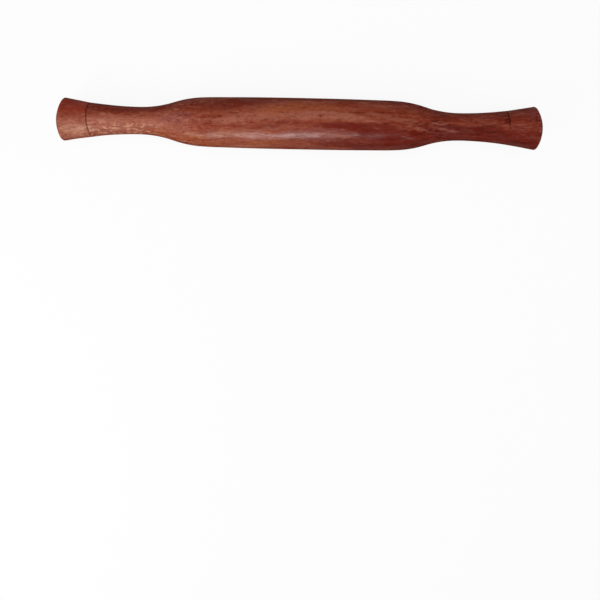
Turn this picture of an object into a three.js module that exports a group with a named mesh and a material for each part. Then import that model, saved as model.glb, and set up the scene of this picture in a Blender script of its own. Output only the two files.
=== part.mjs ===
// A slim turned rolling pin that lies along X on the plane z = 0, under the middle of its barrel.
// The barrel and both necks are one billet, and a flared cap is dowelled to each end.

import * as THREE from 'three';

// Driving dimensions, in millimetres. Lengths follow one another outwards from the middle of the pin.

// Rolling barrel
const barrelDiameter = 35.5; // across the middle
const barrelStraight = 26; // the true cylinder in the middle, end to end
const crownLength = 52; // from the cylinder to each shoulder
const crownDrop = 0.7; // fall of the radius along the crown

// Handles
const shoulderLength = 45; // from the end of the crown to the neck
const shoulderRadius = 75; // rounding where the barrel turns in
const neckDiameter = 19; // thinnest place
const flareLength = 51.5; // from the neck to the rim
const flareStraight = 10.5; // straight cone behind the rim
const rimDiameter = 29.8;

// End caps
const leftCapLength = 18.2; // from the seam to the rim, set by hand at each end
const rightCapLength = 19.8;
const domeHeight = 4.5;
const rimEdgeRadius = 0.4;
const seamGap = 0.3; // glue line between the cap and the handle
const grooveWidth = 1; // V-groove turned along the seam
const grooveDepth = 0.5;

// Dowels
const dowelDiameter = 8;
const dowelLength = 30;
const dowelInCap = 13; // depth past the seam
const dowelChamfer = 0.8;
const dowelClearance = 0.15; // all round
const dowelEndRoom = 1; // past each end, for glue
const fluteCount = 12;
const fluteDepth = 0.35;

// Facets
const sides = 48; // round the pin, with a flat underneath
const sidesPerFlute = 4;
const chordError = 0.04;
const chordTurn = Math.PI / 6; // most that one chord turns

const barrelRadius = barrelDiameter / 2;
const neckRadius = neckDiameter / 2;
const rimRadius = rimDiameter / 2;
const dowelRadius = dowelDiameter / 2;
const boreRadius = dowelRadius + dowelClearance;

// Places along the axis, measured from the middle
const crownStart = barrelStraight / 2;
const crownEnd = crownStart + crownLength;
const neckX = crownEnd + shoulderLength;
const rimX = neckX + flareLength;

// Radius of the arc that falls by drop over a length, starting level
const arcRadius = (length, drop) => (length ** 2 + drop ** 2) / (2 * drop);

// Chords that an arc needs to keep within the chord error
function chordCount(radius, turn) {
  const step = Math.min(2 * Math.acos(1 - chordError / radius), chordTurn);
  return Math.ceil(Math.abs(turn) / step);
}

// A stretch of the turned surface with its radius at any x. An arc bulges out (side 1) or in (side -1).
function arcStretch({ from, to, centreX, centreR, radius, side }) {
  const turn = Math.asin((to - centreX) / radius) - Math.asin((from - centreX) / radius);
  return {
    from,
    to,
    steps: chordCount(radius, turn),
    radiusAt: (x) => centreR + side * Math.sqrt(radius ** 2 - (x - centreX) ** 2),
  };
}

function lineStretch(from, to, startRadius, slope) {
  return { from, to, steps: 1, radiusAt: (x) => startRadius + slope * (x - from) };
}

// Crown: a long flat arc, level where it leaves the cylinder
const crownRadius = arcRadius(crownLength, crownDrop);
const crownTilt = Math.asin(crownLength / crownRadius);
const crownEndRadius = barrelRadius - crownDrop;

// Shoulder and neck: two arcs that meet at one tilt, carrying on from the crown and ending level
const shoulderDrop = crownEndRadius - neckRadius;
const ogeeTilt = 2 * Math.atan(
  (shoulderDrop + shoulderRadius * (1 - Math.cos(crownTilt)))
  / (shoulderLength + shoulderRadius * Math.sin(crownTilt)),
);
const shoulderRun = shoulderRadius * (Math.sin(ogeeTilt) - Math.sin(crownTilt));
const neckArcRadius = (shoulderLength - shoulderRun) / Math.sin(ogeeTilt);
const ogeeX = crownEnd + shoulderRun;

// Flare: an arc that leaves the neck level and runs on as a straight cone to the rim
const flareRise = rimRadius - neckRadius;
const flareTangent = (flareLength ** 2 + flareRise ** 2 - flareStraight ** 2)
  / (2 * (flareLength + flareStraight));
const flareTilt = Math.atan2(flareRise, flareLength - flareTangent);
const flareRadius = flareTangent / Math.tan(flareTilt / 2);
const coneX = rimX - flareStraight * Math.cos(flareTilt);
const coneRadius = rimRadius - flareStraight * Math.sin(flareTilt);

const surface = [
  lineStretch(0, crownStart, barrelRadius, 0),
  arcStretch({
    from: crownStart,
    to: crownEnd,
    centreX: crownStart,
    centreR: barrelRadius - crownRadius,
    radius: crownRadius,
    side: 1,
  }),
  arcStretch({
    from: crownEnd,
    to: ogeeX,
    centreX: crownEnd - shoulderRadius * Math.sin(crownTilt),
    centreR: crownEndRadius - shoulderRadius * Math.cos(crownTilt),
    radius: shoulderRadius,
    side: 1,
  }),
  arcStretch({
    from: ogeeX,
    to: neckX,
    centreX: neckX,
    centreR: neckRadius + neckArcRadius,
    radius: neckArcRadius,
    side: -1,
  }),
  arcStretch({
    from: neckX,
    to: coneX,
    centreX: neckX,
    centreR: neckRadius + flareRadius,
    radius: flareRadius,
    side: -1,
  }),
  lineStretch(coneX, rimX, coneRadius, Math.tan(flareTilt)),
];

const surfaceRadius = (x) => surface.find((stretch) => x <= stretch.to).radiusAt(x);

// Profile points are (radius, x), as a lathe takes them
const profilePoint = (x, radius) => new THREE.Vector2(radius, x);

function surfaceProfile(from, to) {
  const stations = [];
  for (const stretch of surface) {
    const step = (stretch.to - stretch.from) / stretch.steps;
    for (let i = 1; i <= stretch.steps; i += 1) {
      stations.push(stretch.from + i * step);
    }
  }
  const inside = stations.filter((x) => x > from && x < to);
  return [from, ...inside, to].map((x) => profilePoint(x, surfaceRadius(x)));
}

function arcProfile(centre, radius, fromAngle, toAngle) {
  const clockwise = toAngle < fromAngle;
  const curve = new THREE.ArcCurve(centre.x, centre.y, radius, fromAngle, toAngle, clockwise);
  const points = curve.getPoints(chordCount(radius, toAngle - fromAngle));
  return points.map((point) => profilePoint(point.x, point.y));
}

// Where a cap parts from the handle, and where the dowel across the seam lies
function capSeat(capLength) {
  const seamX = rimX - capLength;
  const dowelOuterEnd = seamX + dowelInCap;
  return {
    seamX,
    grooveBottom: surfaceRadius(seamX) - grooveDepth,
    dowelOuterEnd,
    dowelInnerEnd: dowelOuterEnd - dowelLength,
  };
}

// Seam face, groove flank and dowel bore, shared by the handle (side -1) and the cap (side 1)
function boredEnd(seat, side) {
  const faceX = seat.seamX + side * seamGap / 2;
  const boreEnd = side > 0 ? seat.dowelOuterEnd + dowelEndRoom : seat.dowelInnerEnd - dowelEndRoom;
  return [
    profilePoint(boreEnd, 0),
    profilePoint(boreEnd, boreRadius),
    profilePoint(faceX, boreRadius),
    profilePoint(faceX, seat.grooveBottom),
  ];
}

// Barrel and both necks, from the bottom of one bore over the outside to the bottom of the other
function bodyProfile(leftSeat, rightSeat) {
  const halfProfile = (seat) => [
    ...surfaceProfile(crownStart, seat.seamX - grooveWidth / 2),
    ...boredEnd(seat, -1).reverse(),
  ];
  const left = halfProfile(leftSeat).map((point) => profilePoint(-point.y, point.x)).reverse();
  return [...left, ...halfProfile(rightSeat)];
}

// Cap: bore, groove, flare, rounded rim and a low dome that ends on the axis
function capProfile(seat) {
  const domeRadius = arcRadius(rimRadius, domeHeight);
  const domeCentre = new THREE.Vector2(rimX + domeHeight - domeRadius, 0);
  const rim = new THREE.Vector2(rimX, rimRadius);
  const along = new THREE.Vector2(Math.cos(flareTilt), Math.sin(flareTilt));
  const inward = new THREE.Vector2(Math.sin(flareTilt), -Math.cos(flareTilt));
  const offset = rim.clone().addScaledVector(inward, rimEdgeRadius).sub(domeCentre);
  const reach = offset.dot(along);
  const edgeDistance = domeRadius - rimEdgeRadius;
  const slide = -reach + Math.sqrt(reach ** 2 - offset.lengthSq() + edgeDistance ** 2);
  const edgeArm = offset.clone().addScaledVector(along, slide);
  const edgeCentre = edgeArm.clone().add(domeCentre);
  const edgeEnd = edgeArm.angle();
  return [
    ...boredEnd(seat, 1),
    ...surfaceProfile(seat.seamX + grooveWidth / 2, rimX + slide * along.x),
    ...arcProfile(edgeCentre, rimEdgeRadius, flareTilt + Math.PI / 2, edgeEnd).slice(1),
    ...arcProfile(domeCentre, domeRadius, edgeEnd, 0).slice(1, -1),
    profilePoint(rimX + domeHeight, 0),
  ];
}

// Turned about Y, half a facet past the underside, so that a flat lies there once Y is laid along X
const turned = (profile) => new THREE.LatheGeometry(profile, sides, Math.PI + Math.PI / sides);

// Fluted dowel with chamfered ends, along Z and centred
function dowelGeometry() {
  const count = fluteCount * sidesPerFlute;
  const outline = Array.from({ length: count }, (_, i) => {
    const angle = i / count * 2 * Math.PI;
    const radius = dowelRadius - fluteDepth * (1 - Math.cos(fluteCount * angle)) / 2;
    return new THREE.Vector2(radius * Math.cos(angle), radius * Math.sin(angle));
  });
  const straight = dowelLength - 2 * dowelChamfer;
  const geometry = new THREE.ExtrudeGeometry(new THREE.Shape(outline), {
    depth: straight,
    bevelThickness: dowelChamfer,
    bevelSize: dowelChamfer,
    bevelOffset: -dowelChamfer,
    bevelSegments: 1,
  });
  return geometry.translate(0, 0, -straight / 2);
}

const pinWood = new THREE.MeshStandardMaterial({ color: 0x83432f, roughness: 0.42, metalness: 0 });
const capWood = new THREE.MeshStandardMaterial({ color: 0x7b3a2c, roughness: 0.38, metalness: 0 });
const dowelWood = new THREE.MeshStandardMaterial({ color: 0xc9a273, roughness: 0.6, metalness: 0 });

function addMesh(parent, name, geometry, material) {
  const mesh = new THREE.Mesh(geometry, material);
  mesh.name = name;
  parent.add(mesh);
  return mesh;
}

const rollingPin = new THREE.Group();

// The axis lies as far above the ground as the flat underneath is from it
const axis = new THREE.Group();
axis.position.z = barrelRadius * Math.cos(Math.PI / sides);
rollingPin.add(axis);

const leftSeat = capSeat(leftCapLength);
const rightSeat = capSeat(rightCapLength);
const body = addMesh(axis, 'pin_body', turned(bodyProfile(leftSeat, rightSeat)), pinWood);
body.rotation.z = -Math.PI / 2;

const dowelShape = dowelGeometry();
for (const [name, seat, end] of [['left', leftSeat, -1], ['right', rightSeat, 1]]) {
  const cap = addMesh(axis, `${name}_end_cap`, turned(capProfile(seat)), capWood);
  cap.rotation.z = -end * Math.PI / 2;
  const dowel = addMesh(axis, `${name}_dowel`, dowelShape, dowelWood);
  dowel.rotation.y = Math.PI / 2;
  dowel.position.x = end * (seat.dowelInnerEnd + seat.dowelOuterEnd) / 2;
}

export default rollingPin;
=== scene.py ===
import math

import bmesh
import bpy
import numpy as np
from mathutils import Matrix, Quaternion, Vector


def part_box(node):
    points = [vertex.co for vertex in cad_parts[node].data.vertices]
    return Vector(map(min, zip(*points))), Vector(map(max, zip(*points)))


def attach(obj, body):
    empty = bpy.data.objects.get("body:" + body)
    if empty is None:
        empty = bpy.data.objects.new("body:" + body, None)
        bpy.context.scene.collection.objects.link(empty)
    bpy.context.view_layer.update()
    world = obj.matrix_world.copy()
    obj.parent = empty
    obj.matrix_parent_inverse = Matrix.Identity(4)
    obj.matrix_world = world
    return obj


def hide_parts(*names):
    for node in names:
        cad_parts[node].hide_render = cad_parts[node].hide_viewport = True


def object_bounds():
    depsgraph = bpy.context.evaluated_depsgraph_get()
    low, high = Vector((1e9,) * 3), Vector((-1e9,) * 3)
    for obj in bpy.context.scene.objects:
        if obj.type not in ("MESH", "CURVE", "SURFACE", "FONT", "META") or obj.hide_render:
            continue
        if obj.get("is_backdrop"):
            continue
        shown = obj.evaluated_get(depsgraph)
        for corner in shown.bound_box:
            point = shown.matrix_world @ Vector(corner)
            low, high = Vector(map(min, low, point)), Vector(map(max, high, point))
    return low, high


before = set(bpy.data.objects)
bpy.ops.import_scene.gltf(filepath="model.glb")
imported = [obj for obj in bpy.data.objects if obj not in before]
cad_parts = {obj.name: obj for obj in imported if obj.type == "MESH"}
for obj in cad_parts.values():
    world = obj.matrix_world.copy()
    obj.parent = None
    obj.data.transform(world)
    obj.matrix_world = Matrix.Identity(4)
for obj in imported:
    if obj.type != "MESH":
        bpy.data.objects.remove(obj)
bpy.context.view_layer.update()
mm = 0.001

bodyLow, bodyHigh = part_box("pin_body")
axisZ = (bodyLow.z + bodyHigh.z) / 2
dowelLow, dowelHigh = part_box("left_dowel")
dowelWide = dowelHigh.z - dowelLow.z
leftSeam = (bodyLow.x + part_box("left_end_cap")[1].x) / 2  # middle of each glue line
rightSeam = (bodyHigh.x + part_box("right_end_cap")[0].x) / 2
seamSkew = -0.10  # the left seam leans by so much along x for each step across
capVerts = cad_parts["right_end_cap"].data.vertices
rimX = max(capVerts, key=lambda v: math.hypot(v.co.y, v.co.z - axisZ)).co.x  # both ends reach as far
print("frame loaded, axis at", round(axisZ / mm, 2), "mm")
print("seams at", round(leftSeam / mm, 2), "and", round(rightSeam / mm, 2), "mm")


# Shader tools

class Wire:
    def __init__(self, tree, socket):
        self.tree = tree
        self.socket = socket

    def maths(self, operation, first, second=0.0):
        node = self.tree.nodes.new("ShaderNodeMath")
        node.operation = operation
        plug(self.tree, node.inputs[0], first)
        plug(self.tree, node.inputs[1], second)
        return Wire(self.tree, node.outputs[0])

    def __add__(self, other):
        return self.maths("ADD", self, other)

    def __radd__(self, other):
        return self.maths("ADD", other, self)

    def __sub__(self, other):
        return self.maths("SUBTRACT", self, other)

    def __rsub__(self, other):
        return self.maths("SUBTRACT", other, self)

    def __mul__(self, other):
        return self.maths("MULTIPLY", self, other)

    def __rmul__(self, other):
        return self.maths("MULTIPLY", other, self)

    def __truediv__(self, other):
        return self.maths("DIVIDE", self, other)

    def __rtruediv__(self, other):
        return self.maths("DIVIDE", other, self)

    def __pow__(self, other):
        return self.maths("POWER", self, other)

    def __rpow__(self, other):
        return self.maths("POWER", other, self)

    def __abs__(self):
        return self.maths("ABSOLUTE", self)


def plug(tree, socket, value):
    if isinstance(value, Wire):
        tree.links.new(value.socket, socket)
    else:
        socket.default_value = value


def findSocket(sockets, key):
    if isinstance(key, int):
        return sockets[key]
    return next(socket for socket in sockets if key in (socket.identifier, socket.name))


def linear(red, green, blue):  # a colour as it shows on screen, 0 to 255
    def channel(value):
        level = value / 255
        return level / 12.92 if level <= 0.04045 else ((level + 0.055) / 1.055) ** 2.4
    return (channel(red), channel(green), channel(blue), 1.0)


class Finish:
    def __init__(self, tree):
        self.tree = tree
        self.tree.nodes.clear()

    def add(self, kind, settings=None, sockets=None, output=0):
        node = self.tree.nodes.new("ShaderNode" + kind)
        for key, value in (settings or {}).items():
            setattr(node, key, value)
        for key, value in (sockets or {}).items():
            plug(self.tree, findSocket(node.inputs, key), value)
        return Wire(self.tree, findSocket(node.outputs, output)) if len(node.outputs) else node

    def vector(self, operation, first, second):
        return self.add("VectorMath", {"operation": operation}, {0: first, 1: second})

    # size is along x, y and z, in the units of place
    def noise(self, place, size, shift=(0.0, 0.0, 0.0), detail=2.0, rough=0.5, output=0):
        moved = self.vector("ADD", self.vector("DIVIDE", place, size), shift)
        return self.add("TexNoise", None, {
            "Vector": moved,
            "Scale": 1.0,
            "Detail": detail,
            "Roughness": rough,
        }, output)

    def step(self, value, low, high):
        return self.add("MapRange", {"interpolation_type": "SMOOTHSTEP"}, {
            "Value": value,
            "From Min": low,
            "From Max": high,
        })

    def within(self, value, rise, fall):  # 1 between two soft edges
        return self.step(value, *rise) * (1.0 - self.step(value, *fall))

    def blend(self, factor, first, second):
        return self.add("Mix", {"data_type": "RGBA"}, {
            "Factor_Float": factor,
            "A_Color": first,
            "B_Color": second,
        }, "Result_Color")


def newMaterial(name):
    material = bpy.data.materials.new(name)
    material.use_nodes = True
    return material, Finish(material.node_tree)


# Turned wood, in mm from the middle of the axis: x along the pin, y across it, z up

pinWood = {
    # cream paints paler wood, and also part of the sheen on the left end and along the barrel
    "cream": linear(223, 166, 133),
    "pale": linear(182, 112, 92),
    "warm": linear(170, 86, 48),
    # a wood tone that also paints the violet tint of a reflection over darker wood
    "mauveAndSheen": linear(140, 80, 76),
    "base": linear(152, 72, 50),
    "red": linear(154, 50, 34),
    "deep": linear(112, 28, 14),
    "dark": linear(58, 15, 8),
    "redEnd": (10.0, 95.0, 0.70),  # from, to, strength: the wood deepens to the right
    "fleck": 0.72,  # strength of the cream flecks at the left end, partly paler wood and partly painted sheen
    "darkGrain": 0.6,  # strength of the dark grain at the right end
    "shift": (0.0, 0.0, 0.0),  # of the grain, so that the pieces differ
    "figure": [  # colour, strength, middle and half size, with y measured from the arch
        # partly paler wood, partly painted sheen: the lit lower front of the left handle
        ("pale", 0.60, (-122.0, 9.3, 8.0), (56.0, 7.3, 14.0)),
        ("pale", 0.25, (-84.0, 9.5, 13.0), (22.0, 10.0, 12.0)),
        ("base", 0.60, (-98.0, 5.0, 8.0), (18.0, 5.0, 12.0)),
        ("mauveAndSheen", 0.50, (-82.0, 14.0, 13.0), (17.0, 6.0, 8.0)),
        ("deep", 0.72, (-122.0, 21.0, 6.0), (44.0, 5.5, 12.0)),
        ("deep", 0.60, (-80.0, 24.0, 6.0), (26.0, 7.0, 12.0)),
        ("deep", 0.65, (-46.0, 20.0, 9.0), (46.0, 6.0, 10.0)),
        # painted shade: the next two darken the top flank, which faces away from the lamps
        ("deep", 0.50, (10.0, 18.0, 5.0), (44.0, 3.4, 8.0)),
        ("deep", 0.50, (68.0, 23.0, 5.0), (32.0, 4.0, 8.0)),
        ("pale", 0.60, (-30.0, 10.0, 16.0), (40.0, 4.5, 9.0)),
        ("warm", 0.65, (0.0, 11.5, 13.0), (44.0, 4.5, 9.0)),
        ("pale", 0.60, (15.0, 6.4, 17.0), (39.0, 3.6, 8.0)),
        ("deep", 0.95, (35.0, -0.5, 17.0), (30.0, 4.6, 8.0)),
        ("deep", 0.50, (-16.0, 1.5, 17.0), (28.0, 2.2, 8.0)),
        ("deep", 0.35, (0.0, -4.5, 16.5), (18.0, 2.4, 6.0)),
        ("deep", 0.50, (16.0, -8.5, 15.0), (34.0, 4.5, 9.0)),
        ("deep", 0.85, (36.0, -12.0, 11.0), (34.0, 4.2, 9.0)),
        ("warm", 0.65, (-36.0, -9.5, 8.0), (44.0, 3.0, 9.0)),
        # partly paler wood, partly painted sheen along the lower front flank
        ("pale", 0.40, (-36.0, -9.8, 4.0), (44.0, 3.0, 9.0)),
        ("pale", 0.30, (-50.0, -4.5, 12.0), (26.0, 3.0, 8.0)),
        ("warm", 0.60, (-58.0, -4.6, 9.0), (28.0, 3.2, 9.0)),
        ("warm", 0.70, (-76.0, 0.4, 11.0), (14.0, 3.0, 6.0)),
        # painted highlight in part: the left start of the sheen band
        ("cream", 0.08, (-76.0, 5.4, 14.7), (8.0, 2.6, 5.0)),
        ("warm", 0.35, (-92.0, 4.0, 8.0), (12.0, 3.6, 7.0)),
        # the next two paint part of the sheen band, over paler wood
        ("cream", 0.18, (-54.0, 0.8, 15.0), (26.0, 2.6, 6.0)),
        ("cream", 0.32, (-70.0, 2.9, 15.0), (10.0, 2.4, 6.0)),
        ("pale", 0.35, (-30.0, -1.0, 16.5), (24.0, 2.2, 6.0)),
        ("red", 0.30, (46.0, 14.4, 13.0), (46.0, 5.0, 8.0)),
        ("warm", 0.20, (60.0, 15.4, 13.0), (32.0, 5.0, 8.0)),
        ("deep", 0.95, (66.0, -3.0, 12.0), (52.0, 10.0, 12.0)),
        ("pale", 0.30, (62.0, 10.4, 15.0), (26.0, 2.4, 8.0)),
        ("deep", 0.60, (70.0, 3.6, 16.0), (34.0, 2.0, 8.0)),
        ("deep", 0.90, (118.0, 6.0, 8.0), (56.0, 8.0, 12.0)),
        ("pale", 0.12, (116.0, 13.4, 10.0), (34.0, 1.1, 6.0)),
        ("mauveAndSheen", 0.28, (96.0, 8.0, 12.0), (18.0, 6.0, 8.0)),
        ("dark", 0.40, (108.0, 11.2, 10.0), (24.0, 1.0, 6.0)),
        ("dark", 0.30, (118.0, 8.6, 9.0), (32.0, 2.2, 6.0)),
        # painted reflection in part: the violet upper edge of the sheen band
        ("mauveAndSheen", 0.35, (14.0, -5.0, 16.0), (32.0, 3.2, 7.0)),
        ("pale", 0.30, (21.0, -7.0, 15.5), (17.0, 1.8, 6.0)),
        ("pale", 0.40, (80.0, 6.3, 15.0), (8.0, 1.4, 6.0)),
        ("pale", 0.40, (94.0, 12.7, 12.0), (9.0, 1.4, 6.0)),
        ("pale", 0.40, (99.0, 8.8, 11.0), (13.0, 1.2, 6.0)),
        ("mauveAndSheen", 0.50, (75.0, -0.6, 13.7), (9.0, 1.6, 7.0)),
    ],
}
capWood = dict(
    pinWood,
    redEnd=(10.0, 95.0, 0.60),
    fleck=0.35,
    darkGrain=0.35,
    shift=(7.3, 2.1, 4.4),
    figure=[
        # partly paler wood, partly painted sheen: the lit lower front of the left cap
        ("pale", 0.65, (-152.0, 6.6, 7.0), (26.0, 10.0, 14.0)),
        ("red", 0.70, (-152.0, 22.0, 8.0), (26.0, 8.0, 14.0)),
        # painted sheen in part, where the lamps shine on the left cap
        ("cream", 0.28, (-150.0, 6.0, 10.0), (22.0, 4.0, 10.0)),
        ("deep", 0.80, (152.0, 4.0, 6.0), (28.0, 10.0, 20.0)),
        ("dark", 0.45, (150.0, 2.2, 8.0), (16.0, 1.6, 6.0)),
        ("mauveAndSheen", 0.35, (160.0, 20.0, 8.0), (11.0, 6.0, 12.0)),
    ],
)

woodFields = {  # noise drawn out along the pin: size, detail, roughness, and a shift of its own for some
    "sway": ((70.0, 16.0, 16.0), 1.0, 0.5, None),
    "ripple": ((24.0, 4.5, 4.5), 2.0, 0.5, None),
    "streak": ((34.0, 2.4, 2.4), 4.0, 0.65, None),
    "blotch": ((12.0, 3.0, 3.0), 2.0, 0.5, None),
    "dash": ((7.0, 1.3, 1.3), 1.0, 0.5, None),
    "speck": ((3.0, 0.9, 0.9), 1.0, 0.5, None),
    "mottle": ((2.6, 1.8, 1.8), 1.0, 0.5, None),
    "fleck": ((3.2, 1.6, 1.6), 3.0, 0.6, (1.7, 8.8, 3.9)),
    "pore": ((4.0, 0.6, 0.6), 1.0, 0.5, (9.1, 2.3, 6.4)),
    "vessel": ((3.0, 0.6, 0.6), 0.0, 0.5, (3.3, 7.1, 1.9)),
    "oil": ((13.0, 4.0, 4.0), 2.0, 0.5, (5.0, 6.2, 1.6)),
}


class Wood:
    def __init__(self, finish, look):
        self.finish = finish
        self.look = look
        self.colour = look["base"]
        fromGround = finish.add("TexCoord", output="Object")
        fromAxis = finish.vector("SUBTRACT", fromGround, (0.0, 0.0, axisZ))
        self.place = finish.vector("DIVIDE", fromAxis, (mm, mm, mm))
        self.x = finish.add("SeparateXYZ", None, {0: self.place}, "X")
        self.y = finish.add("SeparateXYZ", None, {0: self.place}, "Y")
        self.z = finish.add("SeparateXYZ", None, {0: self.place}, "Z")
        self.fields = {}
        for name, (size, detail, rough, shift) in woodFields.items():
            self.fields[name] = finish.noise(self.place, size, shift or look["shift"], detail, rough)

    def swing(self, name):  # a field that runs either side of 0
        return self.fields[name] - 0.5

    def paint(self, mask, tone):
        self.colour = self.finish.blend(mask, self.colour, self.look[tone])


growth = {
    "pith": (-9.0, -46.0),  # across and up from the axis
    "gap": 2.6,  # between layers
    "tilt": 0.012,  # rise of the grain along the pin
    "sway": 9.0,  # how far the layers wander, in long and in short waves
    "ripple": 2.2,
    "run": 160.0,  # a layer changes its tone over such a length
    "detail": 2.0,
    "rough": 0.55,
}


def growLayers(wood):  # about a pith below the pin
    pithY, pithZ = growth["pith"]
    across = ((wood.y - pithY) ** 2.0 + (wood.z - pithZ) ** 2.0) ** 0.5
    sway = wood.swing("sway") * growth["sway"]
    ripple = wood.swing("ripple") * growth["ripple"]
    wood.layer = (across + wood.x * growth["tilt"] + sway + ripple) / growth["gap"]
    place = wood.finish.add("CombineXYZ", None, {"X": wood.layer, "Y": wood.x / growth["run"]})
    wood.fields["layers"] = wood.finish.noise(
        place, (1.0, 1.0, 1.0), wood.look["shift"], growth["detail"], growth["rough"],
    )


figureShape = {
    "arch": (15.0, 100.0, 12.0),  # middle, reach and height of the arch that the figure follows
    "drift": (12.0, 3.0, 3.0),  # size of the frays along a patch's edge
    "ragged": (26.0, 4.0, 4.0),  # how far they stray
    "edge": (0.45, 1.05),  # a patch fades out between these shares of its half size
    "shading": ("red", "deep", "dark"),
}


def paintFigure(wood):  # broad areas of paler, warmer and deeper wood with ragged edges
    finish = wood.finish
    redFrom, redTo, redness = wood.look["redEnd"]
    wood.paint(finish.step(wood.x, redFrom, redTo) * redness, "deep")
    drift = finish.noise(wood.place, figureShape["drift"], output="Color")
    drift = finish.vector("SUBTRACT", drift, (0.5, 0.5, 0.5))
    ragged = finish.vector("MULTIPLY", drift, figureShape["ragged"])
    archX, archReach, archHeight = figureShape["arch"]
    bend = finish.step(abs(wood.x - archX), 0.0, archReach) * archHeight
    arched = finish.vector("ADD", wood.place, finish.add("CombineXYZ", None, {"Y": bend}))
    wandering = finish.vector("ADD", arched, ragged)
    wood.shaded = wood.x * 0.0  # where the figure is dark, and pale grain is rare
    for tone, strength, middle, half in wood.look["figure"]:
        offset = finish.vector("DIVIDE", finish.vector("SUBTRACT", wandering, middle), half)
        far = finish.add("VectorMath", {"operation": "LENGTH"}, {0: offset}, "Value")
        patch = (1.0 - finish.step(far, *figureShape["edge"])) * strength
        wood.paint(patch, tone)
        if tone in figureShape["shading"]:
            wood.shaded = patch.maths("MAXIMUM", wood.shaded, patch)


grain = {
    "toRight": (10.0, 80.0),  # beyond, the grain is finer and darker
    "slant": 2.0,  # this change runs aslant across the pin
    "weights": {  # of each field, and what it gains to the right
        "layers": (0.8, 0.0),
        "streak": (0.9, 1.9),
        "blotch": (1.1, 0.0),
        "dash": (1.0, 0.6),
        "speck": (0.6, 1.2),
    },
    "mottle": (1.3, 1.2),  # weight to the left, and what it gains on the left shoulder
    "shoulder": ((-98.0, -86.0), (-70.0, -52.0)),
    "contrast": (0.0, 0.9),  # from no grain to full grain
    "darkContrast": (0.1, 0.8),
    "paleness": (0.3, 0.6),  # strength of the pale grain, and what it gains to the left
    "shadeLoss": 0.8,  # what it loses in dark figure
    "deepness": 0.85,
    "poreEdge": (0.60, 0.72),
    "poreStrength": 0.5,
}


def paintGrain(wood):  # layers, streaks, blotches and specks, and then the pores
    finish = wood.finish
    toRight = finish.step(wood.x - wood.y * grain["slant"], *grain["toRight"])
    toLeft = 1.0 - toRight
    mottle, shoulderGain = grain["mottle"]
    mottled = toLeft * mottle + finish.within(wood.x, *grain["shoulder"]) * shoulderGain
    light = wood.swing("mottle") * mottled
    for name, (weight, gain) in grain["weights"].items():
        light = light + wood.swing(name) * (toRight * gain + weight)
    shade = 0.0 - light
    strength, leftGain = grain["paleness"]
    paleness = (toLeft * leftGain + strength) * (1.0 - wood.shaded * grain["shadeLoss"])
    wood.paint(finish.step(light, *grain["contrast"]) * paleness, "pale")
    wood.paint(finish.step(shade, *grain["contrast"]) * grain["deepness"], "deep")
    wood.paint(finish.step(shade, *grain["darkContrast"]) * toRight * wood.look["darkGrain"], "dark")
    wood.pores = finish.step(wood.fields["pore"], *grain["poreEdge"])
    wood.paint(wood.pores * grain["poreStrength"], "dark")


# cream flecks at the front of the left end: partly paler wood, partly painted sheen and glints on the
# side the lamps light
sapwoodAndSheen = {
    "xEdge": (-112.0, -84.0),  # it lies to the left of this, in front and on top
    "yEdge": (-6.0, 3.0),
    "zEdge": (-2.0, 7.0),
    "fleckEdge": (0.48, 0.64),
    "clump": 0.3,  # how far the flecks keep to the blotches
}


def paintFlecksAndSheen(wood):
    finish = wood.finish
    left = 1.0 - finish.step(wood.x, *sapwoodAndSheen["xEdge"])
    front = 1.0 - finish.step(wood.y, *sapwoodAndSheen["yEdge"])
    onTop = finish.step(wood.z, *sapwoodAndSheen["zEdge"])
    clumped = wood.fields["fleck"] + wood.swing("blotch") * sapwoodAndSheen["clump"]
    wood.flecks = finish.step(clumped, *sapwoodAndSheen["fleckEdge"]) * left * front * onTop
    # painted sheen in part: the flecks brighten the lit front of the left end
    wood.paint(wood.flecks * wood.look["fleck"], "cream")


growthLine = {
    "shoulder": ((46.0, 72.0), (96.0, 112.0)),
    "perLayer": 2.0,
    "edge": (0.0, 0.2),
    "breaks": (0.42, 0.58),  # they fade out between the blotches
    "strength": 0.1,
}


def paintGrowthLines(wood):  # thin, pale and broken, where the right shoulder cuts across the layers
    finish = wood.finish
    wave = wood.layer.maths("PINGPONG", wood.layer * growthLine["perLayer"], 0.5)
    lines = 1.0 - finish.step(wave, *growthLine["edge"])
    lines = lines * finish.step(wood.fields["blotch"], *growthLine["breaks"])
    lines = lines * finish.within(wood.x, *growthLine["shoulder"])
    wood.paint(lines * growthLine["strength"], "pale")


seamStain = {
    "left": (0.25, 0.80),  # from full to none, away from the seam
    "leftStrength": 0.32,
    "right": (0.25, 0.85),
    "rightStrength": 0.5,
    "rightOpen": (-1.0, 6.0),  # across the pin: the right groove is filled at the front
    "nick": ((141.6, 6.6), (138.2, 3.0)),  # a knife mark that runs off the right groove
    "nickStart": (-0.4, 0.4),
    "nickEnd": (-0.6, 0.4),
    "nickWidth": (0.15, 0.55),
    "nickHeight": (0.0, 2.0),  # it is on the upper side alone
    "nickStrength": 0.5,
}


def knifeNick(wood):  # mask of a fine straight mark seen from above
    start, end = seamStain["nick"]
    length = math.dist(start, end)
    alongX = (end[0] - start[0]) / length
    alongY = (end[1] - start[1]) / length
    along = (wood.x - start[0]) * alongX + (wood.y - start[1]) * alongY
    aside = (wood.x - start[0]) * alongY - (wood.y - start[1]) * alongX
    fadeOut = [length + edge for edge in seamStain["nickEnd"]]
    inside = wood.finish.within(along, seamStain["nickStart"], fadeOut)
    narrow = 1.0 - wood.finish.step(abs(aside), *seamStain["nickWidth"])
    return inside * narrow * wood.finish.step(wood.z, *seamStain["nickHeight"])


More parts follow.
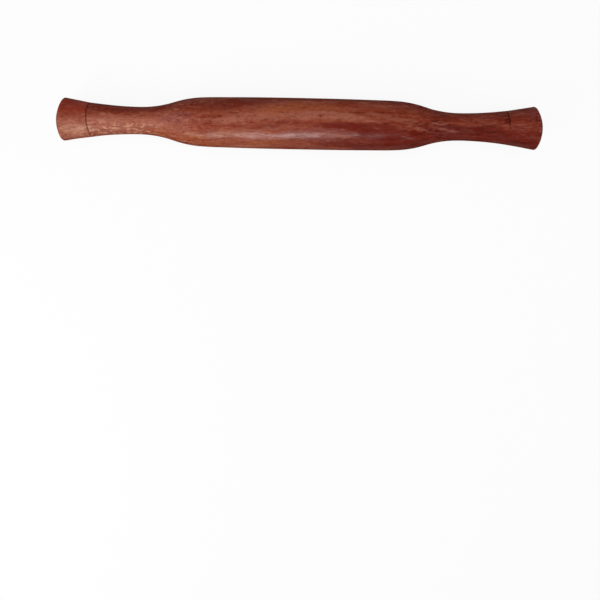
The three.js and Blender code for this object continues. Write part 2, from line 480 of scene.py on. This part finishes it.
def stainSeams(wood):  # dust and wax darken the grooves
    finish = wood.finish
    fromLeft = abs(wood.x - wood.y * seamSkew - leftSeam / mm)
    fromRight = abs(wood.x - rightSeam / mm)
    left = 1.0 - finish.step(fromLeft, *seamStain["left"])
    right = 1.0 - finish.step(fromRight, *seamStain["right"])
    right = right * finish.step(wood.y, *seamStain["rightOpen"])
    wood.paint(left * seamStain["leftStrength"] + right * seamStain["rightStrength"], "dark")
    wood.nick = knifeNick(wood)
    wood.paint(wood.nick * seamStain["nickStrength"], "dark")


endFace = {
    "wornReach": 1.4,  # from the rim
    "wornEdge": (0.9, 1.2),  # it is worn in patches
    "wornStrength": 0.3,
    "fadeIn": 0.3,  # past the rim
    "deepness": 0.25,
    "lateEdge": (0.0, 0.3),
    "lateStrength": 0.35,
    "vesselEdge": (0.58, 0.68),
    "vesselStrength": 0.35,
    "latheRing": 1.1,  # between the rings that the tool left
}


def paintEnds(wood):  # worn rims, and darker end grain with growth rings and vessels on the domes
    finish = wood.finish
    outer = rimX / mm
    worn = 1.0 - finish.step(abs(abs(wood.x) - outer), 0.0, endFace["wornReach"])
    worn = worn * finish.step(wood.fields["blotch"] + wood.fields["speck"], *endFace["wornEdge"])
    wood.paint(worn * endFace["wornStrength"], "pale")
    wood.face = finish.step(abs(wood.x), outer, outer + endFace["fadeIn"])
    wave = wood.layer.maths("PINGPONG", wood.layer, 0.5)
    lateWood = 1.0 - finish.step(wave, *endFace["lateEdge"])
    wood.vessels = finish.step(wood.fields["vessel"], *endFace["vesselEdge"])
    rings = lateWood * endFace["lateStrength"] + wood.vessels * endFace["vesselStrength"]
    wood.paint(wood.face * endFace["deepness"], "deep")
    wood.paint(wood.face * rings, "dark")


relief = {
    "strength": 0.3,
    "depth": 0.25 * mm,
    "speck": 0.6,  # height of each, as a share of the depth
    "streak": 0.4,
    "flecks": 0.4,
    "latheRings": 0.25,
    "pores": -0.8,
    "nick": -1.5,
    "vessels": -1.0,
}


def woodBump(wood):
    fromAxis = (wood.y ** 2.0 + wood.z ** 2.0) ** 0.5
    latheRings = wood.x.maths("SINE", fromAxis * (2 * math.pi / endFace["latheRing"]))
    onFace = latheRings * relief["latheRings"] + wood.vessels * relief["vessels"]
    height = wood.fields["speck"] * relief["speck"] + wood.fields["streak"] * relief["streak"]
    height = height + wood.flecks * relief["flecks"] + wood.pores * relief["pores"]
    height = height + wood.nick * relief["nick"] + wood.face * onFace
    return wood.finish.add("Bump", None, {
        "Strength": relief["strength"],
        "Distance": relief["depth"],
        "Height": height,
    }, "Normal")


gloss = {
    "roughness": 0.27,
    "speckRough": 0.2,  # what each adds to it
    "streakRough": 0.3,
    "poreRough": 0.1,
    "faceRough": 0.12,
    "specular": 0.19,  # of the oiled wood
    "oiled": 0.7,  # share of oiled wood, seen face on, against dry wood
    "oilEdge": (0.36, 0.62),
    "oilSpread": (0.5, 0.9),  # part of that share everywhere, and what it gains in oily patches
    "oilFade": 1.6,  # how fast the oiled wood goes dull towards the edges
}


def woodShader(wood):
    finish = wood.finish
    bump = woodBump(wood)
    uneven = wood.swing("speck") * gloss["speckRough"]
    uneven = uneven + wood.swing("streak") * gloss["streakRough"]
    uneven = uneven + wood.pores * gloss["poreRough"] + wood.face * gloss["faceRough"]
    satin = finish.add("BsdfPrincipled", None, {
        "Base Color": wood.colour,
        "Roughness": gloss["roughness"] + uneven,
        "Specular IOR Level": gloss["specular"],
        "Normal": bump,
    })
    dry = finish.add("BsdfPrincipled", None, {
        "Base Color": wood.colour,
        "Roughness": 1.0,
        "Specular IOR Level": 0.0,
        "Normal": bump,
    })
    share, gain = gloss["oilSpread"]
    oiled = (finish.step(wood.fields["oil"], *gloss["oilEdge"]) * gain + share) * gloss["oiled"]
    facing = 1.0 - finish.add("LayerWeight", None, {"Blend": 0.5}, "Facing")
    return finish.add("MixShader", None, {0: 1.0 - oiled * facing ** gloss["oilFade"], 1: satin, 2: dry})


def woodFinish(name, look):
    material, finish = newMaterial(name)
    wood = Wood(finish, look)
    growLayers(wood)
    paintFigure(wood)
    paintGrain(wood)
    paintFlecksAndSheen(wood)
    paintGrowthLines(wood)
    stainSeams(wood)
    paintEnds(wood)
    finish.add("OutputMaterial", None, {"Surface": woodShader(wood)})
    return material


dowelWood = {
    "pale": linear(214, 180, 134),
    "dark": linear(182, 140, 96),
    "roughness": 0.62,
    "fibreRough": 0.1,  # what the fibres add to it
    "fibre": (14.0, 0.7, 0.7),  # mm along x, y and z
    "fibreEdge": (0.3, 0.7),
    "ray": (1.2, 0.3, 0.3),
    "rayShift": (4.0, 1.0, 2.0),
    "rayEdge": (0.62, 0.72),
    "rayStrength": 0.5,
    "bump": 0.4,
    "bumpDepth": 0.1 * mm,
}


def dowelFinish(name, look):
    material, finish = newMaterial(name)
    place = finish.vector("DIVIDE", finish.add("TexCoord", output="Object"), (mm, mm, mm))
    fibre = finish.noise(place, look["fibre"], detail=3.0, rough=0.6)
    ray = finish.noise(place, look["ray"], look["rayShift"], detail=1.0)
    colour = finish.blend(finish.step(fibre, *look["fibreEdge"]), look["dark"], look["pale"])
    colour = finish.blend(finish.step(ray, *look["rayEdge"]) * look["rayStrength"], colour, look["dark"])
    bump = finish.add("Bump", None, {
        "Strength": look["bump"],
        "Distance": look["bumpDepth"],
        "Height": fibre,
    }, "Normal")
    shader = finish.add("BsdfPrincipled", None, {
        "Base Color": colour,
        "Roughness": look["roughness"] + (fibre - 0.5) * look["fibreRough"],
        "Normal": bump,
    })
    finish.add("OutputMaterial", None, {"Surface": shader})
    return material


# Turned pieces: each follows the outline of its node, finely, with the marks of hand and lathe

turning = {
    "spacing": 0.7 * mm,  # between rings
    "around": 176,  # points in a ring
    "cornerTurn": math.radians(32),  # a sharper turn of the outline stays a corner
    "runRatio": 6,  # a run ends where a long stretch meets one so much shorter
    "weld": 0.001 * mm,
    "sameAngle": 1e-4,  # between the vertices of one column
    "seed": 5,
}


def readOutline(nodeName):  # (x, radius) along one column of the node's vertices, from axis to axis
    bm = bmesh.new()
    bm.from_mesh(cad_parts[nodeName].data)
    bmesh.ops.remove_doubles(bm, verts=bm.verts, dist=turning["weld"])
    radius = {v: math.hypot(v.co.y, v.co.z - axisZ) for v in bm.verts}
    angle = {v: math.atan2(v.co.y, v.co.z - axisZ) for v in bm.verts}
    onAxis = [v for v in bm.verts if radius[v] < turning["weld"]]
    column = min((abs(angle[v]), angle[v]) for v in bm.verts if v not in onAxis)[1]
    chainable = {v for v in bm.verts if v in onAxis or abs(angle[v] - column) < turning["sameAngle"]}
    chain = [min(onAxis, key=lambda v: v.co.x)]
    while True:
        near = [e.other_vert(chain[-1]) for e in chain[-1].link_edges]
        near = [v for v in near if v in chainable and v not in chain]
        if not near:
            break
        chain.append(near[0])
    outline = np.array([(v.co.x, radius[v]) for v in chain])
    bm.free()
    return outline


def smoothRun(points, spacing):  # a curve through the points of one run, without its last point
    gaps = np.linalg.norm(np.diff(points, axis=0), axis=1)
    slopes = np.diff(points, axis=0) / gaps[:, None]
    if len(points) == 2:
        tangents = np.repeat(slopes, 2, axis=0)
    else:
        before, after = gaps[:-1, None], gaps[1:, None]
        middle = (slopes[:-1] * after + slopes[1:] * before) / (before + after)
        first = 2 * slopes[0] - middle[0]
        last = 2 * slopes[-1] - middle[-1]
        tangents = np.vstack([first, middle, last])
    run = []
    for i, gap in enumerate(gaps):
        count = max(1, math.ceil(gap / spacing))
        t = (np.arange(count) / count)[:, None]
        run.append(
            points[i] * (2 * t ** 3 - 3 * t ** 2 + 1)
            + points[i + 1] * (3 * t ** 2 - 2 * t ** 3)
            + tangents[i] * gap * (t ** 3 - 2 * t ** 2 + t)
            + tangents[i + 1] * gap * (t ** 3 - t ** 2)
        )
    return np.vstack(run)


def fineOutline(outline, spacing):
    along = np.diff(outline, axis=0)
    heading = np.arctan2(along[:, 1], along[:, 0])
    turn = np.abs((np.diff(heading) + math.pi) % (2 * math.pi) - math.pi)
    change = np.abs(np.diff(np.log(np.linalg.norm(along, axis=1))))
    breaks = (turn > turning["cornerTurn"]) | (change > math.log(turning["runRatio"]))
    corners = [0, *(np.nonzero(breaks)[0] + 1), len(outline) - 1]
    runs = [smoothRun(outline[a:b + 1], spacing) for a, b in zip(corners[:-1], corners[1:])]
    return np.vstack([*runs, outline[-1:]])


handWork = {
    "toolPitch": 1.9 * mm,
    "toolDepth": 0.003 * mm,
    "uneven": 0.035 * mm,  # hand sanding
    "swells": 6,  # long waves left by it, each lower than the last
    "swellsAround": 4,  # at most, in one turn
    "swellLength": 14 * mm,
    "swellGrowth": 9 * mm,  # each is so much longer than the last
    "dents": 46,
    "dentSize": (0.7 * mm, 2.2 * mm),
    "dentDepth": (0.03 * mm, 0.12 * mm),
    "dentStretch": 1.8,  # along the pin
    "seamReach": 0.6 * mm,  # the wood stays true so close to a seam
}


def handMarks(x, angle, radius, rng):  # how far the surface strays from the true turned shape
    stray = handWork["toolDepth"] * np.sin(2 * math.pi * x / handWork["toolPitch"])
    for k in range(1, handWork["swells"] + 1):
        around = rng.integers(1, handWork["swellsAround"] + 1)
        phase, other = rng.uniform(0, 2 * math.pi, 2)
        length = handWork["swellLength"] + handWork["swellGrowth"] * k
        swell = np.cos(around * angle + phase) * np.cos(x / length + other)
        stray = stray + handWork["uneven"] / k * swell
    reach = x.max() - x.min()
    for _ in range(handWork["dents"]):
        dentX = x.min() + reach * rng.uniform()
        dentAngle = rng.uniform(0, 2 * math.pi)
        size = rng.uniform(*handWork["dentSize"])
        depth = rng.uniform(*handWork["dentDepth"])
        along = (x - dentX) / (handWork["dentStretch"] * size)
        across = ((angle - dentAngle + math.pi) % (2 * math.pi) - math.pi) * radius / size
        stray = stray - depth * np.exp(-along ** 2 - across ** 2)
    outside = radius > dowelWide  # the bore and the seam stay true
    fromSeam = np.minimum(np.abs(x - leftSeam), np.abs(x - rightSeam))
    return np.where(outside & (fromSeam > handWork["seamReach"]), stray, 0)


seamWork = {
    "glueReach": 0.17 * mm,  # takes in both faces of a glue line
    "hairline": 0.03 * mm,  # half of what is left open along it
    "grooveReach": 0.51 * mm,  # either side of a seam
    "besideReach": 3.0 * mm,  # the handle beside a groove, which its filling follows
    "fillEdge": 0.28,  # the filling fades out so far behind the axis, as a share of the radius
    "skewReach": 9.0 * mm,  # either side of the seam that leans
}


def closeSeams(x, radius):  # glue closes both seams up to the bottom of the groove
    for seam in (leftSeam, rightSeam):
        atSeam = (np.abs(x - seam) < seamWork["glueReach"]) & (radius > dowelWide)
        closed = seam + np.sign(x - seam) * np.minimum(np.abs(x - seam), seamWork["hairline"])
        x = np.where(atSeam, closed, x)
    return x


def skewSeam(x, radius, angle):  # the left cap was cut a little off square
    near = np.clip(1 - np.abs(x - leftSeam) / seamWork["skewReach"], 0, 1) * (radius > dowelWide)
    return x + near ** 2 * (3 - 2 * near) * seamSkew * radius * np.sin(angle)


def fillGroove(x, radius, angle):  # glue and wax fill the right groove at the front, flush with the wood
    apart = np.where(radius > dowelWide, np.abs(x - rightSeam), np.inf)
    inGroove = apart < seamWork["grooveReach"]
    if not inGroove.any():
        return radius
    beside = ~inGroove & (apart < seamWork["besideReach"])
    slope, start = np.polyfit(x[beside], radius[beside], 1)
    filled = np.clip(1 - np.sin(angle) / seamWork["fillEdge"], 0, 1) * inGroove
    return radius + filled * np.clip(start + slope * x - radius, 0, None)


def turnedPoints(rings, rng):  # the points of every ring, one ring after another
    count = turning["around"]
    x = np.repeat(rings[:, :1], count, axis=1)
    radius = np.repeat(rings[:, 1:], count, axis=1)
    angle = np.repeat(np.arange(count)[None, :] / count * 2 * math.pi, len(rings), axis=0)
    radius = radius + handMarks(x, angle, radius, rng)
    x = closeSeams(x, radius)
    x = skewSeam(x, radius, angle)
    radius = fillGroove(x, radius, angle)
    points = np.stack([x, radius * np.sin(angle), axisZ + radius * np.cos(angle)], axis=-1)
    return [tuple(point) for point in points.reshape(-1, 3)]


def turnedFaces(ringCount):  # between rings, and to a last point on the axis at each end
    count = turning["around"]
    lastRing = (ringCount - 1) * count
    firstEnd = ringCount * count
    lastEnd = firstEnd + 1
    faces = []
    for j in range(count):
        k = (j + 1) % count
        for ring in range(0, lastRing, count):
            faces.append((ring + j, ring + k, ring + count + k, ring + count + j))
        faces.append((firstEnd, k, j))
        faces.append((lastEnd, lastRing + j, lastRing + k))
    return faces


def turnedPiece(name, nodeName, material, seedShift):
    rng = np.random.default_rng(turning["seed"] + seedShift)
    outline = fineOutline(readOutline(nodeName), turning["spacing"])
    rings = outline[1:-1]
    ends = [(outline[0, 0], 0, axisZ), (outline[-1, 0], 0, axisZ)]
    mesh = bpy.data.meshes.new(name)
    mesh.from_pydata([*turnedPoints(rings, rng), *ends], [], turnedFaces(len(rings)))
    mesh.materials.append(material)
    bm = bmesh.new()
    bm.from_mesh(mesh)
    bmesh.ops.recalc_face_normals(bm, faces=bm.faces)
    bm.to_mesh(mesh)
    bm.free()
    mesh.shade_smooth()
    mesh.set_sharp_from_angle(angle=turning["cornerTurn"])
    piece = bpy.data.objects.new(name, mesh)
    bpy.context.scene.collection.objects.link(piece)
    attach(piece, "root")
    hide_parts(nodeName)
    print(name, "turned:", len(rings), "rings,", len(mesh.polygons), "faces")


pinMaterial = woodFinish("pinWood", pinWood)
capMaterial = woodFinish("capWood", capWood)
turnedPiece("turnedBody", "pin_body", pinMaterial, 0)
turnedPiece("leftCap", "left_end_cap", capMaterial, 1)
turnedPiece("rightCap", "right_end_cap", capMaterial, 2)

dowelMaterial = dowelFinish("dowelWood", dowelWood)
for dowelName in ("left_dowel", "right_dowel"):
    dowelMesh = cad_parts[dowelName].data
    dowelMesh.materials.clear()
    dowelMesh.materials.append(dowelMaterial)
print("dowels finished")


# Studio

studio = {
    "floorReach": 1.6,  # flat out to here, then swept up into a low wall all round
    "sweepRadius": 0.5,
    "sweepSteps": 12,
    "wallHeight": 0.8,
    "wallSides": 96,
    "floorColour": (0.95, 0.95, 0.95, 1.0),  # as the camera sees it
    "bounceColour": (0.40, 0.40, 0.40, 1.0),  # as it lights the pin from below
    "floorGlow": 0.9,  # share of the floor's white that shows without light
    "white": (1.0, 1.0, 1.0, 1.0),
    "worldLevel": 0.22,
    "fillMiddle": (0.0, -0.05, 1.3),
    "fillSize": (1.0, 1.0),
    "fillPower": 8.5,
    "keyMiddle": (-0.38, -0.36, 0.38),
    "keySize": (0.3, 0.3),
    "keyPower": 1.1,
    "sheenMiddle": (-0.030, -0.41, 0.302),
    "sheenSize": (0.285, 0.14),
    "sheenPower": 2.65,
    "sheenRoll": math.radians(50),  # its right end is higher
    "endDistance": 1.1,  # a low lamp beyond each end of the pin
    "endHeight": 0.2,
    "endSize": (0.6, 0.3),
    "endPower": 2.0,
}


def floorFinish(look):  # white where the camera or a reflection sees it, grey where it lights the pin
    material, finish = newMaterial("paleFloor")
    seen = finish.add("LightPath", output="Is Camera Ray")
    mirrored = finish.add("LightPath", output="Is Glossy Ray")
    through = finish.add("LightPath", output="Is Transmission Ray")
    direct = seen.maths("MAXIMUM", seen, mirrored.maths("MAXIMUM", mirrored, through))
    paint = finish.blend(direct, look["bounceColour"], look["floorColour"])
    diffuse = finish.add("BsdfDiffuse", None, {"Color": paint})
    glow = finish.add("Emission", None, {"Color": look["white"], "Strength": 1.0})
    shader = finish.add("MixShader", None, {0: direct * look["floorGlow"], 1: diffuse, 2: glow})
    finish.add("OutputMaterial", None, {"Surface": shader})
    return material


def makeFloor(look):
    reach, sweep = look["floorReach"], look["sweepRadius"]
    steps, sides = look["sweepSteps"], look["wallSides"]
    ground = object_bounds()[0].z
    bends = [math.pi / 2 * i / steps for i in range(steps + 1)]
    profile = [(reach + sweep * math.sin(bend), sweep * (1 - math.cos(bend))) for bend in bends]
    profile.append((reach + sweep, look["wallHeight"]))
    turns = [2 * math.pi * i / sides for i in range(sides)]
    bm = bmesh.new()
    rings = []
    for radius, height in profile:
        spots = [(radius * math.cos(turn), radius * math.sin(turn), ground + height) for turn in turns]
        rings.append([bm.verts.new(spot) for spot in spots])
    bm.faces.new(rings[0])
    for inner, outer in zip(rings[:-1], rings[1:]):
        for i in range(sides):
            k = (i + 1) % sides
            bm.faces.new((inner[i], outer[i], outer[k], inner[k]))
    mesh = bpy.data.meshes.new("floor")
    bm.to_mesh(mesh)
    bm.free()
    mesh.shade_smooth()
    mesh.materials.append(floorFinish(look))
    floor = bpy.data.objects.new("floor", mesh)
    bpy.context.scene.collection.objects.link(floor)
    floor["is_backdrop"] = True


def makeWorld(look):
    world = bpy.data.worlds.new("softRoom")
    world.use_nodes = True
    finish = Finish(world.node_tree)
    light = finish.add("Background", None, {"Color": look["white"], "Strength": look["worldLevel"]})
    finish.add("OutputWorld", None, {"Surface": light})
    bpy.context.scene.world = world


def makeLamp(name, middle, size, power, roll=0.0):
    lamp = bpy.data.lights.new(name, "AREA")
    lamp.shape = "RECTANGLE"
    lamp.size, lamp.size_y = size
    lamp.energy = power
    stand = bpy.data.objects.new(name, lamp)
    bpy.context.scene.collection.objects.link(stand)
    stand.visible_camera = False
    stand.location = Vector(middle)
    aim = Vector((middle[0] / 2, 0.0, axisZ)) - stand.location
    turn = aim.to_track_quat("-Z", "Y") @ Quaternion((0.0, 0.0, 1.0), roll)
    stand.rotation_euler = turn.to_euler()
    return stand


makeFloor(studio)
makeWorld(studio)
fillLamp = makeLamp("fill", studio["fillMiddle"], studio["fillSize"], studio["fillPower"])
fillLamp.visible_glossy = False
keyLamp = makeLamp("key", studio["keyMiddle"], studio["keySize"], studio["keyPower"])
keyLamp.visible_glossy = False
sheenLamp = makeLamp(
    "sheen", studio["sheenMiddle"], studio["sheenSize"], studio["sheenPower"], studio["sheenRoll"],
)
sheenLamp.visible_diffuse = False  # a strip that shows in the gloss alone
for lampName, side in (("leftEnd", -1), ("rightEnd", 1)):
    endMiddle = (side * studio["endDistance"], 0.0, studio["endHeight"])
    endLamp = makeLamp(lampName, endMiddle, studio["endSize"], studio["endPower"])
    endLamp.visible_glossy = False
print("studio lit")


# Camera

shot = {
    "imageSide": 600,  # px
    "pinCentre": (299.4, 123.75),  # px
    "pixelsPerMm": 1 / 0.69,
    "distance": 428 * mm,  # from the axis of the pin
    "roll": math.radians(1.14),  # the right end lies lower
    "sensor": 36.0,
    "nearest": 0.01,  # m, what is closer is not drawn
}


def makeCamera(look):
    camera = bpy.data.cameras.new("camera")
    side = look["imageSide"]
    focalPixels = look["pixelsPerMm"] * look["distance"] / mm
    camera.sensor_width = look["sensor"]
    camera.lens = look["sensor"] * focalPixels / side
    camera.shift_x = (side / 2 - look["pinCentre"][0]) / side
    camera.shift_y = (look["pinCentre"][1] - side / 2) / side
    camera.clip_start = look["nearest"]
    view = bpy.data.objects.new("camera", camera)
    view.location = (0.0, 0.0, axisZ + look["distance"])
    view.rotation_euler = (0.0, 0.0, look["roll"])
    bpy.context.scene.collection.objects.link(view)
    bpy.context.scene.camera = view


makeCamera(shot)
bpy.context.scene.view_settings.view_transform = "Standard"
print("camera set")
